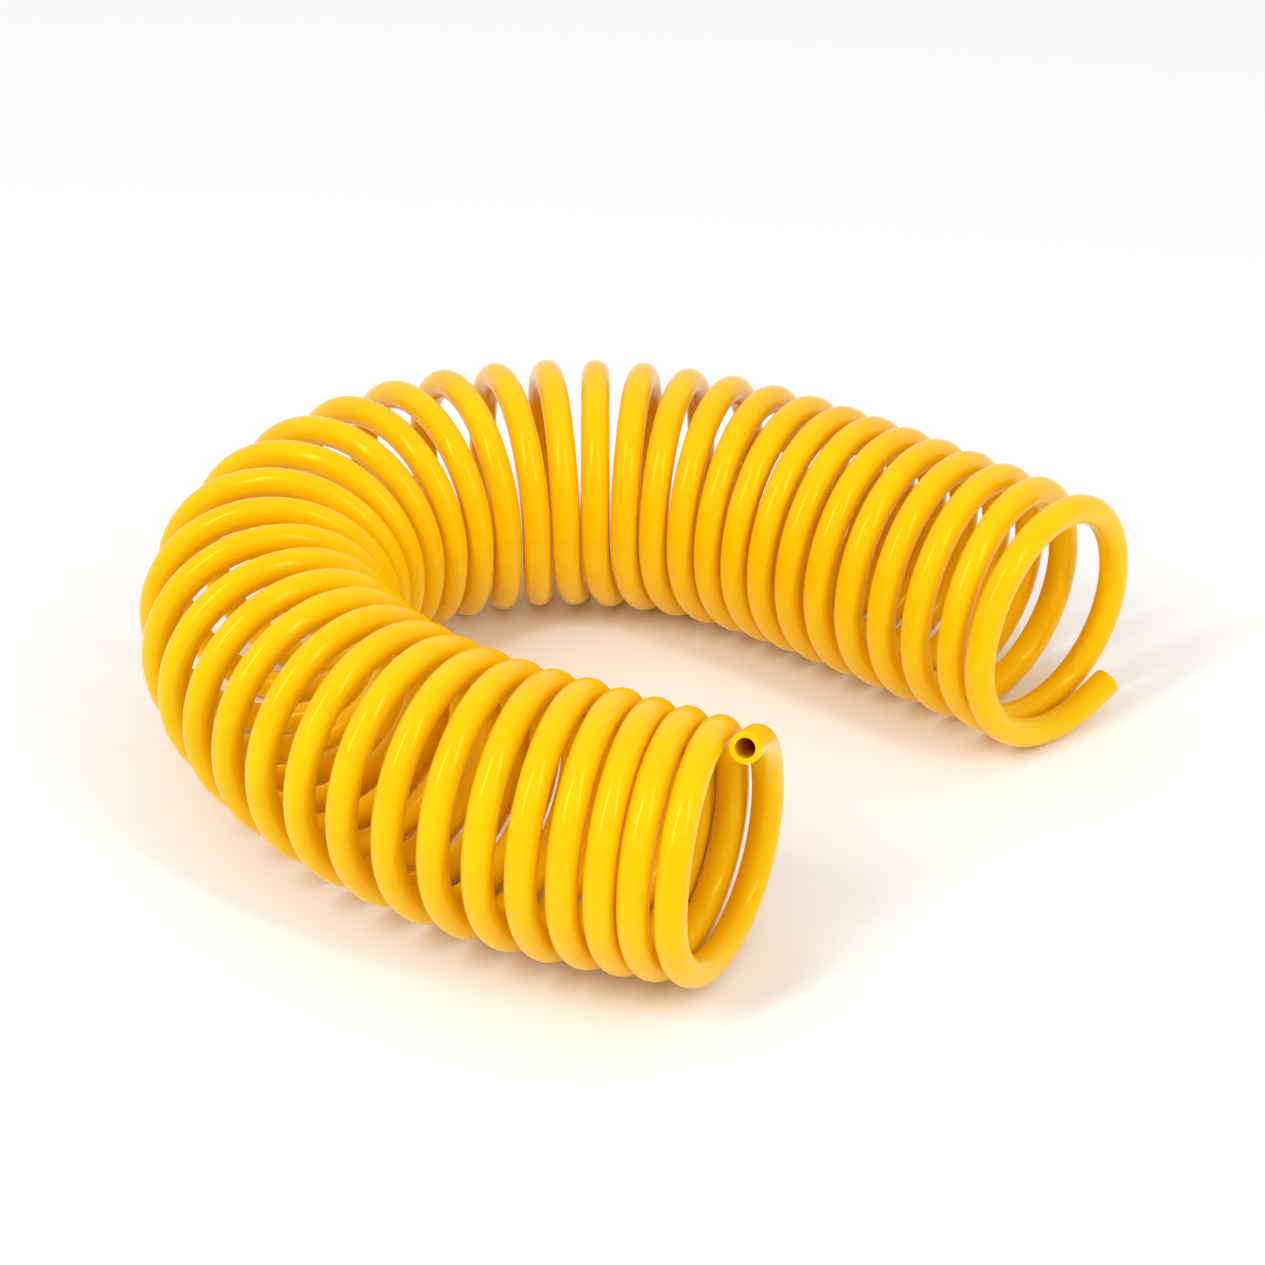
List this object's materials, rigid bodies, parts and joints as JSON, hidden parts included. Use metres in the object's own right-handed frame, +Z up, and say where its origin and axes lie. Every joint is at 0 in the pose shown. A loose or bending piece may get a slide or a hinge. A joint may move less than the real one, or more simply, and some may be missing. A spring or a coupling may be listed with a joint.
{
  "type": "coiled air hose",
  "caption": "Self-retracting coil of polyurethane air tube, laid in a horseshoe, with both ends cut square and left bare for a push-in fitting.",
  "frame": {"origin": "centre of the bounding box, on the surface that the coil rests on", "axes": "+Z up from the surface; +X towards the open side of the horseshoe, where both ends are; +Y from the near arm towards the far arm"},
  "size_m": [0.2404, 0.2324, 0.071],
  "materials": {
    "hose": "glossy extruded yellow polyurethane, slightly translucent"
  },
  "bodies": {
    "near_end": {"near_end": "hose"},
    "near_turn_01_lower": {"near_turn_01_lower": "hose"},
    "near_turn_01_upper": {"near_turn_01_upper": "hose"},
    "near_turn_02_lower": {"near_turn_02_lower": "hose"},
    "near_turn_02_upper": {"near_turn_02_upper": "hose"},
    "near_turn_03_lower": {"near_turn_03_lower": "hose"},
    "near_turn_03_upper": {"near_turn_03_upper": "hose"},
    "near_turn_04_lower": {"near_turn_04_lower": "hose"},
    "near_turn_04_upper": {"near_turn_04_upper": "hose"},
    "near_turn_05_lower": {"near_turn_05_lower": "hose"},
    "near_turn_05_upper": {"near_turn_05_upper": "hose"},
    "near_turn_06_lower": {"near_turn_06_lower": "hose"},
    "near_turn_06_upper": {"near_turn_06_upper": "hose"},
    "near_turn_07_lower": {"near_turn_07_lower": "hose"},
    "near_turn_07_upper": {"near_turn_07_upper": "hose"},
    "near_turn_08_lower": {"near_turn_08_lower": "hose"},
    "near_turn_08_upper": {"near_turn_08_upper": "hose"},
    "near_turn_09_lower": {"near_turn_09_lower": "hose"},
    "near_turn_09_upper": {"near_turn_09_upper": "hose"},
    "near_turn_10_lower": {"near_turn_10_lower": "hose"},
    "near_turn_10_upper": {"near_turn_10_upper": "hose"},
    "bend_turn_01": {"bend_turn_01": "hose"},
    "bend_turn_02": {"bend_turn_02": "hose"},
    "bend_turn_03": {"bend_turn_03": "hose"},
    "bend_turn_04": {"bend_turn_04": "hose"},
    "bend_turn_05": {"bend_turn_05": "hose"},
    "bend_turn_06": {"bend_turn_06": "hose"},
    "bend_turn_07": {"bend_turn_07": "hose"},
    "bend_turn_08": {"bend_turn_08": "hose"},
    "bend_turn_09": {"bend_turn_09": "hose"},
    "bend_turn_10": {"bend_turn_10": "hose"},
    "bend_turn_11": {"bend_turn_11": "hose"},
    "bend_turn_12": {"bend_turn_12": "hose"},
    "bend_turn_13": {"bend_turn_13": "hose"},
    "bend_turn_14": {"bend_turn_14": "hose"},
    "bend_turn_15": {"bend_turn_15": "hose"},
    "bend_turn_16": {"bend_turn_16": "hose"},
    "bend_turn_17": {"bend_turn_17": "hose"},
    "bend_turn_18": {"bend_turn_18": "hose"},
    "bend_turn_19": {"bend_turn_19": "hose"},
    "far_turn_01_lower": {"far_turn_01_lower": "hose"},
    "far_turn_01_upper": {"far_turn_01_upper": "hose"},
    "far_turn_02_lower": {"far_turn_02_lower": "hose"},
    "far_turn_02_upper": {"far_turn_02_upper": "hose"},
    "far_turn_03_lower": {"far_turn_03_lower": "hose"},
    "far_turn_03_upper": {"far_turn_03_upper": "hose"},
    "far_turn_04_lower": {"far_turn_04_lower": "hose"},
    "far_turn_04_upper": {"far_turn_04_upper": "hose"},
    "far_turn_05_lower": {"far_turn_05_lower": "hose"},
    "far_turn_05_upper": {"far_turn_05_upper": "hose"},
    "far_turn_06_lower": {"far_turn_06_lower": "hose"},
    "far_turn_06_upper": {"far_turn_06_upper": "hose"},
    "far_turn_07_lower": {"far_turn_07_lower": "hose"},
    "far_turn_07_upper": {"far_turn_07_upper": "hose"},
    "far_turn_08_lower": {"far_turn_08_lower": "hose"},
    "far_turn_08_upper": {"far_turn_08_upper": "hose"},
    "far_turn_09_lower": {"far_turn_09_lower": "hose"},
    "far_turn_09_upper": {"far_turn_09_upper": "hose"},
    "far_end": {"far_end": "hose"}
  },
  "joints": [
    {"name": "bend_twist_01", "type": "hinge", "parent": "bend_turn_02", "child": "bend_turn_01", "pos_m": [-0.0143, -0.04448, 0.0355], "axis": [0, 0, -1], "range_deg": [0, 5.3]},
    {"name": "bend_twist_02", "type": "hinge", "parent": "bend_turn_03", "child": "bend_turn_02", "pos_m": [-0.02291, -0.04124, 0.0355], "axis": [0, 0, -1], "range_deg": [0, 5.5]},
    {"name": "bend_twist_03", "type": "hinge", "parent": "bend_turn_04", "child": "bend_turn_03", "pos_m": [-0.03107, -0.03724, 0.0355], "axis": [0, 0, -1], "range_deg": [0, 7.63]},
    {"name": "bend_twist_04", "type": "hinge", "parent": "bend_turn_05", "child": "bend_turn_04", "pos_m": [-0.03853, -0.03225, 0.0355], "axis": [0, 0, -1], "range_deg": [0, 9.75]},
    {"name": "bend_twist_05", "type": "hinge", "parent": "bend_turn_06", "child": "bend_turn_05", "pos_m": [-0.04495, -0.02614, 0.0355], "axis": [0, 0, -1], "range_deg": [0, 11.88]},
    {"name": "bend_twist_06", "type": "hinge", "parent": "bend_turn_07", "child": "bend_turn_06", "pos_m": [-0.0499, -0.01892, 0.0355], "axis": [0, 0, -1], "range_deg": [0, 14]},
    {"name": "bend_twist_07", "type": "hinge", "parent": "bend_turn_08", "child": "bend_turn_07", "pos_m": [-0.05292, -0.01083, 0.0355], "axis": [0, 0, -1], "range_deg": [0, 13.13]},
    {"name": "bend_twist_08", "type": "hinge", "parent": "bend_turn_09", "child": "bend_turn_08", "pos_m": [-0.05399, -0.00237, 0.0355], "axis": [0, 0, -1], "range_deg": [0, 12.25]},
    {"name": "bend_uncurl", "type": "hinge", "parent": "bend_turn_10", "child": "bend_turn_09", "pos_m": [-0.05325, 0.00601, 0.0355], "axis": [0, 0, -1], "range_deg": [0, 11.38]},
    {"name": "bend_twist_10", "type": "hinge", "parent": "bend_turn_10", "child": "bend_turn_11", "pos_m": [-0.05089, 0.01397, 0.0355], "axis": [0, 0, 1], "range_deg": [0, 10.5]},
    {"name": "bend_twist_11", "type": "hinge", "parent": "bend_turn_11", "child": "bend_turn_12", "pos_m": [-0.04713, 0.02136, 0.0355], "axis": [0, 0, 1], "range_deg": [0, 9.75]},
    {"name": "bend_twist_12", "type": "hinge", "parent": "bend_turn_12", "child": "bend_turn_13", "pos_m": [-0.04216, 0.02802, 0.0355], "axis": [0, 0, 1], "range_deg": [0, 9]},
    {"name": "bend_twist_13", "type": "hinge", "parent": "bend_turn_13", "child": "bend_turn_14", "pos_m": [-0.03622, 0.03381, 0.0355], "axis": [0, 0, 1], "range_deg": [0, 8.25]},
    {"name": "bend_twist_14", "type": "hinge", "parent": "bend_turn_14", "child": "bend_turn_15", "pos_m": [-0.02951, 0.03869, 0.0355], "axis": [0, 0, 1], "range_deg": [0, 7.5]},
    {"name": "bend_twist_15", "type": "hinge", "parent": "bend_turn_15", "child": "bend_turn_16", "pos_m": [-0.02222, 0.04265, 0.0355], "axis": [0, 0, 1], "range_deg": [0, 7.08]},
    {"name": "bend_twist_16", "type": "hinge", "parent": "bend_turn_16", "child": "bend_turn_17", "pos_m": [-0.01449, 0.04569, 0.0355], "axis": [0, 0, 1], "range_deg": [0, 6.65]},
    {"name": "bend_twist_17", "type": "hinge", "parent": "bend_turn_17", "child": "bend_turn_18", "pos_m": [-0.00646, 0.04781, 0.0355], "axis": [0, 0, 1], "range_deg": [0, 6.23]},
    {"name": "bend_twist_18", "type": "hinge", "parent": "bend_turn_18", "child": "bend_turn_19", "pos_m": [0.00189, 0.04908, 0.0355], "axis": [0, 0, 1], "range_deg": [0, 5.8]},
    {"name": "near_arm_stretch", "type": "hinge", "parent": "bend_turn_01", "child": "near_turn_10_upper", "pos_m": [-0.00546, -0.04689, 0.0355], "axis": [0, 0, 1], "range_deg": [0, 14], "stiffness_Nm_per_rad": 0.17},
    {"name": "near_twist_01", "type": "hinge", "parent": "near_turn_10_upper", "child": "near_turn_10_lower", "pos_m": [-0.01211, -0.10954, 0.0355], "axis": [0, 0, -1], "range_deg": [0, 28], "stiffness_Nm_per_rad": 0.17},
    {"name": "near_twist_02", "type": "hinge", "parent": "near_turn_10_lower", "child": "near_turn_09_upper", "pos_m": [0.00351, -0.04851, 0.0355], "axis": [0, 0, 1], "range_deg": [0, 28], "stiffness_Nm_per_rad": 0.17},
    {"name": "near_twist_03", "type": "hinge", "parent": "near_turn_09_upper", "child": "near_turn_09_lower", "pos_m": [0.0022, -0.11149, 0.0355], "axis": [0, 0, -1], "range_deg": [0, 28], "stiffness_Nm_per_rad": 0.17},
    {"name": "near_twist_04", "type": "hinge", "parent": "near_turn_09_lower", "child": "near_turn_08_upper", "pos_m": [0.01255, -0.04935, 0.0355], "axis": [0, 0, 1], "range_deg": [0, 28], "stiffness_Nm_per_rad": 0.17},
    {"name": "near_twist_05", "type": "hinge", "parent": "near_turn_08_upper", "child": "near_turn_08_lower", "pos_m": [0.01637, -0.11223, 0.0355], "axis": [0, 0, -1], "range_deg": [0, 28], "stiffness_Nm_per_rad": 0.17},
    {"name": "near_twist_06", "type": "hinge", "parent": "near_turn_08_lower", "child": "near_turn_07_upper", "pos_m": [0.02159, -0.04945, 0.0355], "axis": [0, 0, 1], "range_deg": [0, 28], "stiffness_Nm_per_rad": 0.17},
    {"name": "near_twist_07", "type": "hinge", "parent": "near_turn_07_upper", "child": "near_turn_07_lower", "pos_m": [0.02965, -0.11193, 0.0355], "axis": [0, 0, -1], "range_deg": [0, 28], "stiffness_Nm_per_rad": 0.17},
    {"name": "near_twist_08", "type": "hinge", "parent": "near_turn_07_lower", "child": "near_turn_06_upper", "pos_m": [0.03058, -0.04894, 0.0355], "axis": [0, 0, 1], "range_deg": [0, 28], "stiffness_Nm_per_rad": 0.17},
    {"name": "near_twist_09", "type": "hinge", "parent": "near_turn_06_upper", "child": "near_turn_06_lower", "pos_m": [0.042, -0.1109, 0.0355], "axis": [0, 0, -1], "range_deg": [0, 28], "stiffness_Nm_per_rad": 0.17},
    {"name": "near_twist_10", "type": "hinge", "parent": "near_turn_06_lower", "child": "near_turn_05_upper", "pos_m": [0.03948, -0.04795, 0.0355], "axis": [0, 0, 1], "range_deg": [0, 28], "stiffness_Nm_per_rad": 0.17},
    {"name": "near_twist_11", "type": "hinge", "parent": "near_turn_05_upper", "child": "near_turn_05_lower", "pos_m": [0.0534, -0.10939, 0.0355], "axis": [0, 0, -1], "range_deg": [0, 28], "stiffness_Nm_per_rad": 0.17},
    {"name": "near_twist_12", "type": "hinge", "parent": "near_turn_05_lower", "child": "near_turn_04_upper", "pos_m": [0.04834, -0.0471, 0.0355], "axis": [0, 0, 1], "range_deg": [0, 28], "stiffness_Nm_per_rad": 0.17},
    {"name": "near_twist_13", "type": "hinge", "parent": "near_turn_04_upper", "child": "near_turn_04_lower", "pos_m": [0.06364, -0.10718, 0.0355], "axis": [0, 0, -1], "range_deg": [0, 28], "stiffness_Nm_per_rad": 0.17},
    {"name": "near_twist_14", "type": "hinge", "parent": "near_turn_04_lower", "child": "near_turn_03_upper", "pos_m": [0.05699, -0.04604, 0.0355], "axis": [0, 0, 1], "range_deg": [0, 28], "stiffness_Nm_per_rad": 0.17},
    {"name": "near_twist_15", "type": "hinge", "parent": "near_turn_03_upper", "child": "near_turn_03_lower", "pos_m": [0.07282, -0.10495, 0.0355], "axis": [0, 0, -1], "range_deg": [0, 28], "stiffness_Nm_per_rad": 0.17},
    {"name": "near_twist_16", "type": "hinge", "parent": "near_turn_03_lower", "child": "near_turn_02_upper", "pos_m": [0.06546, -0.0449, 0.0355], "axis": [0, 0, 1], "range_deg": [0, 28], "stiffness_Nm_per_rad": 0.17},
    {"name": "near_twist_17", "type": "hinge", "parent": "near_turn_02_upper", "child": "near_turn_02_lower", "pos_m": [0.08099, -0.10285, 0.0355], "axis": [0, 0, -1], "range_deg": [0, 28], "stiffness_Nm_per_rad": 0.17},
    {"name": "near_twist_18", "type": "hinge", "parent": "near_turn_02_lower", "child": "near_turn_01_upper", "pos_m": [0.07374, -0.0438, 0.0355], "axis": [0, 0, 1], "range_deg": [0, 28], "stiffness_Nm_per_rad": 0.17},
    {"name": "near_twist_19", "type": "hinge", "parent": "near_turn_01_upper", "child": "near_turn_01_lower", "pos_m": [0.09001, -0.10051, 0.0355], "axis": [0, 0, -1], "range_deg": [0, 28], "stiffness_Nm_per_rad": 0.17},
    {"name": "near_twist_20", "type": "hinge", "parent": "near_turn_01_lower", "child": "near_end", "pos_m": [0.08289, -0.04244, 0.0355], "axis": [0, 0, 1], "range_deg": [0, 28], "stiffness_Nm_per_rad": 0.17},
    {"name": "far_arm_stretch", "type": "hinge", "parent": "bend_turn_19", "child": "far_turn_01_lower", "pos_m": [0.01048, 0.04951, 0.0355], "axis": [0, 0, -1], "range_deg": [0, 14], "stiffness_Nm_per_rad": 0.17},
    {"name": "far_twist_01", "type": "hinge", "parent": "far_turn_01_lower", "child": "far_turn_01_upper", "pos_m": [0.01638, 0.11223, 0.0355], "axis": [0, 0, 1], "range_deg": [0, 28], "stiffness_Nm_per_rad": 0.17},
    {"name": "far_twist_02", "type": "hinge", "parent": "far_turn_01_upper", "child": "far_turn_02_lower", "pos_m": [0.01923, 0.0493, 0.0355], "axis": [0, 0, -1], "range_deg": [0, 28], "stiffness_Nm_per_rad": 0.17},
    {"name": "far_twist_03", "type": "hinge", "parent": "far_turn_02_lower", "child": "far_turn_02_upper", "pos_m": [0.02833, 0.11164, 0.0355], "axis": [0, 0, 1], "range_deg": [0, 28], "stiffness_Nm_per_rad": 0.17},
    {"name": "far_twist_04", "type": "hinge", "parent": "far_turn_02_upper", "child": "far_turn_03_lower", "pos_m": [0.0281, 0.04864, 0.0355], "axis": [0, 0, -1], "range_deg": [0, 28], "stiffness_Nm_per_rad": 0.17},
    {"name": "far_twist_05", "type": "hinge", "parent": "far_turn_03_lower", "child": "far_turn_03_upper", "pos_m": [0.03883, 0.11072, 0.0355], "axis": [0, 0, 1], "range_deg": [0, 28], "stiffness_Nm_per_rad": 0.17},
    {"name": "far_twist_06", "type": "hinge", "parent": "far_turn_03_upper", "child": "far_turn_04_lower", "pos_m": [0.03744, 0.04773, 0.0355], "axis": [0, 0, -1], "range_deg": [0, 28], "stiffness_Nm_per_rad": 0.17},
    {"name": "far_twist_07", "type": "hinge", "parent": "far_turn_04_lower", "child": "far_turn_04_upper", "pos_m": [0.04947, 0.10957, 0.0355], "axis": [0, 0, 1], "range_deg": [0, 28], "stiffness_Nm_per_rad": 0.17},
    {"name": "far_twist_08", "type": "hinge", "parent": "far_turn_04_upper", "child": "far_turn_05_lower", "pos_m": [0.04724, 0.04661, 0.0355], "axis": [0, 0, -1], "range_deg": [0, 28], "stiffness_Nm_per_rad": 0.17},
    {"name": "far_twist_09", "type": "hinge", "parent": "far_turn_05_lower", "child": "far_turn_05_upper", "pos_m": [0.06024, 0.10826, 0.0355], "axis": [0, 0, 1], "range_deg": [0, 28], "stiffness_Nm_per_rad": 0.17},
    {"name": "far_twist_10", "type": "hinge", "parent": "far_turn_05_upper", "child": "far_turn_06_lower", "pos_m": [0.05751, 0.04532, 0.0355], "axis": [0, 0, -1], "range_deg": [0, 28], "stiffness_Nm_per_rad": 0.17},
    {"name": "far_twist_11", "type": "hinge", "parent": "far_turn_06_lower", "child": "far_turn_06_upper", "pos_m": [0.07116, 0.10682, 0.0355], "axis": [0, 0, 1], "range_deg": [0, 28], "stiffness_Nm_per_rad": 0.17},
    {"name": "far_twist_12", "type": "hinge", "parent": "far_turn_06_upper", "child": "far_turn_07_lower", "pos_m": [0.06825, 0.04389, 0.0355], "axis": [0, 0, -1], "range_deg": [0, 28], "stiffness_Nm_per_rad": 0.17},
    {"name": "far_twist_13", "type": "hinge", "parent": "far_turn_07_lower", "child": "far_turn_07_upper", "pos_m": [0.08222, 0.10532, 0.0355], "axis": [0, 0, 1], "range_deg": [0, 28], "stiffness_Nm_per_rad": 0.17},
    {"name": "far_twist_14", "type": "hinge", "parent": "far_turn_07_upper", "child": "far_turn_08_lower", "pos_m": [0.07947, 0.04238, 0.0355], "axis": [0, 0, -1], "range_deg": [0, 28], "stiffness_Nm_per_rad": 0.17},
    {"name": "far_twist_15", "type": "hinge", "parent": "far_turn_08_lower", "child": "far_turn_08_upper", "pos_m": [0.09343, 0.10381, 0.0355], "axis": [0, 0, 1], "range_deg": [0, 28], "stiffness_Nm_per_rad": 0.17},
    {"name": "far_twist_16", "type": "hinge", "parent": "far_turn_08_upper", "child": "far_turn_09_lower", "pos_m": [0.09117, 0.04085, 0.0355], "axis": [0, 0, -1], "range_deg": [0, 28], "stiffness_Nm_per_rad": 0.17},
    {"name": "far_twist_17", "type": "hinge", "parent": "far_turn_09_lower", "child": "far_turn_09_upper", "pos_m": [0.11012, 0.10093, 0.0355], "axis": [0, 0, 1], "range_deg": [0, 28], "stiffness_Nm_per_rad": 0.17},
    {"name": "far_twist_18", "type": "hinge", "parent": "far_turn_09_upper", "child": "far_end", "pos_m": [0.10071, 0.03864, 0.0355], "axis": [0, 0, -1], "range_deg": [0, 28], "stiffness_Nm_per_rad": 0.17}
  ],
  "couplings": [
    {"joint": "bend_twist_01", "follows": "bend_uncurl", "ratio": 0.46593},
    {"joint": "bend_twist_02", "follows": "bend_uncurl", "ratio": 0.48352},
    {"joint": "bend_twist_03", "follows": "bend_uncurl", "ratio": 0.67033},
    {"joint": "bend_twist_04", "follows": "bend_uncurl", "ratio": 0.85714},
    {"joint": "bend_twist_05", "follows": "bend_uncurl", "ratio": 1.044},
    {"joint": "bend_twist_06", "follows": "bend_uncurl", "ratio": 1.2308},
    {"joint": "bend_twist_07", "follows": "bend_uncurl", "ratio": 1.1538},
    {"joint": "bend_twist_08", "follows": "bend_uncurl", "ratio": 1.0769},
    {"joint": "bend_twist_10", "follows": "bend_uncurl", "ratio": 0.92308},
    {"joint": "bend_twist_11", "follows": "bend_uncurl", "ratio": 0.85714},
    {"joint": "bend_twist_12", "follows": "bend_uncurl", "ratio": 0.79121},
    {"joint": "bend_twist_13", "follows": "bend_uncurl", "ratio": 0.72528},
    {"joint": "bend_twist_14", "follows": "bend_uncurl", "ratio": 0.65934},
    {"joint": "bend_twist_15", "follows": "bend_uncurl", "ratio": 0.62198},
    {"joint": "bend_twist_16", "follows": "bend_uncurl", "ratio": 0.58461},
    {"joint": "bend_twist_17", "follows": "bend_uncurl", "ratio": 0.54725},
    {"joint": "bend_twist_18", "follows": "bend_uncurl", "ratio": 0.50989},
    {"joint": "near_twist_01", "follows": "near_arm_stretch", "ratio": 2},
    {"joint": "near_twist_02", "follows": "near_arm_stretch", "ratio": 2},
    {"joint": "near_twist_03", "follows": "near_arm_stretch", "ratio": 2},
    {"joint": "near_twist_04", "follows": "near_arm_stretch", "ratio": 2},
    {"joint": "near_twist_05", "follows": "near_arm_stretch", "ratio": 2},
    {"joint": "near_twist_06", "follows": "near_arm_stretch", "ratio": 2},
    {"joint": "near_twist_07", "follows": "near_arm_stretch", "ratio": 2},
    {"joint": "near_twist_08", "follows": "near_arm_stretch", "ratio": 2},
    {"joint": "near_twist_09", "follows": "near_arm_stretch", "ratio": 2},
    {"joint": "near_twist_10", "follows": "near_arm_stretch", "ratio": 2},
    {"joint": "near_twist_11", "follows": "near_arm_stretch", "ratio": 2},
    {"joint": "near_twist_12", "follows": "near_arm_stretch", "ratio": 2},
    {"joint": "near_twist_13", "follows": "near_arm_stretch", "ratio": 2},
    {"joint": "near_twist_14", "follows": "near_arm_stretch", "ratio": 2},
    {"joint": "near_twist_15", "follows": "near_arm_stretch", "ratio": 2},
    {"joint": "near_twist_16", "follows": "near_arm_stretch", "ratio": 2},
    {"joint": "near_twist_17", "follows": "near_arm_stretch", "ratio": 2},
    {"joint": "near_twist_18", "follows": "near_arm_stretch", "ratio": 2},
    {"joint": "near_twist_19", "follows": "near_arm_stretch", "ratio": 2},
    {"joint": "near_twist_20", "follows": "near_arm_stretch", "ratio": 2},
    {"joint": "far_twist_01", "follows": "far_arm_stretch", "ratio": 2},
    {"joint": "far_twist_02", "follows": "far_arm_stretch", "ratio": 2},
    {"joint": "far_twist_03", "follows": "far_arm_stretch", "ratio": 2},
    {"joint": "far_twist_04", "follows": "far_arm_stretch", "ratio": 2},
    {"joint": "far_twist_05", "follows": "far_arm_stretch", "ratio": 2},
    {"joint": "far_twist_06", "follows": "far_arm_stretch", "ratio": 2},
    {"joint": "far_twist_07", "follows": "far_arm_stretch", "ratio": 2},
    {"joint": "far_twist_08", "follows": "far_arm_stretch", "ratio": 2},
    {"joint": "far_twist_09", "follows": "far_arm_stretch", "ratio": 2},
    {"joint": "far_twist_10", "follows": "far_arm_stretch", "ratio": 2},
    {"joint": "far_twist_11", "follows": "far_arm_stretch", "ratio": 2},
    {"joint": "far_twist_12", "follows": "far_arm_stretch", "ratio": 2},
    {"joint": "far_twist_13", "follows": "far_arm_stretch", "ratio": 2},
    {"joint": "far_twist_14", "follows": "far_arm_stretch", "ratio": 2},
    {"joint": "far_twist_15", "follows": "far_arm_stretch", "ratio": 2},
    {"joint": "far_twist_16", "follows": "far_arm_stretch", "ratio": 2},
    {"joint": "far_twist_17", "follows": "far_arm_stretch", "ratio": 2},
    {"joint": "far_twist_18", "follows": "far_arm_stretch", "ratio": 2}
  ]
}
